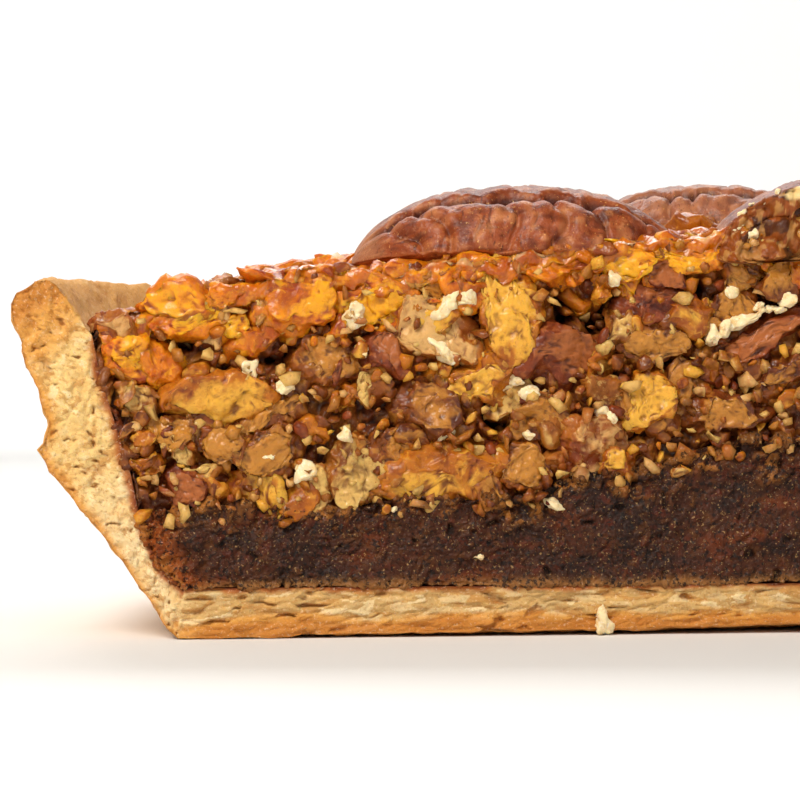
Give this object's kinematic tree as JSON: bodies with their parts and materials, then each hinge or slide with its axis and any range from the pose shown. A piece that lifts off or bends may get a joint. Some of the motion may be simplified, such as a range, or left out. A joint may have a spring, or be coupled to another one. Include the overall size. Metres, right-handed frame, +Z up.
{
  "type": "pecan pie slice",
  "caption": "Wedge slice of a deep pecan pie: short pastry shell, dark set custard, packed chopped pecans in amber syrup, and pecan halves on top.",
  "frame": {"origin": "on the surface the slice stands on, under the middle of its bounding box", "axes": "+X from the rim towards the point of the slice, along the cut side that shows; +Y from that cut side into the slice; +Z up"},
  "size_m": [0.115, 0.0814, 0.0469],
  "materials": {
    "pastry": "matte baked shortcrust pastry, cream inside, golden brown outside",
    "custard": "moist dark brown sugar custard",
    "nuts": "chopped pecans under a glossy amber syrup",
    "pecan": "satin reddish brown pecan skin"
  },
  "bodies": {
    "root": {"crust": "pastry", "custard": "custard", "chopped_nuts": "nuts", "pecan_half_front": "pecan", "pecan_half_middle": "pecan", "pecan_half_cut": "pecan", "pecan_half_back": "pecan"}
  },
  "joints": []
}
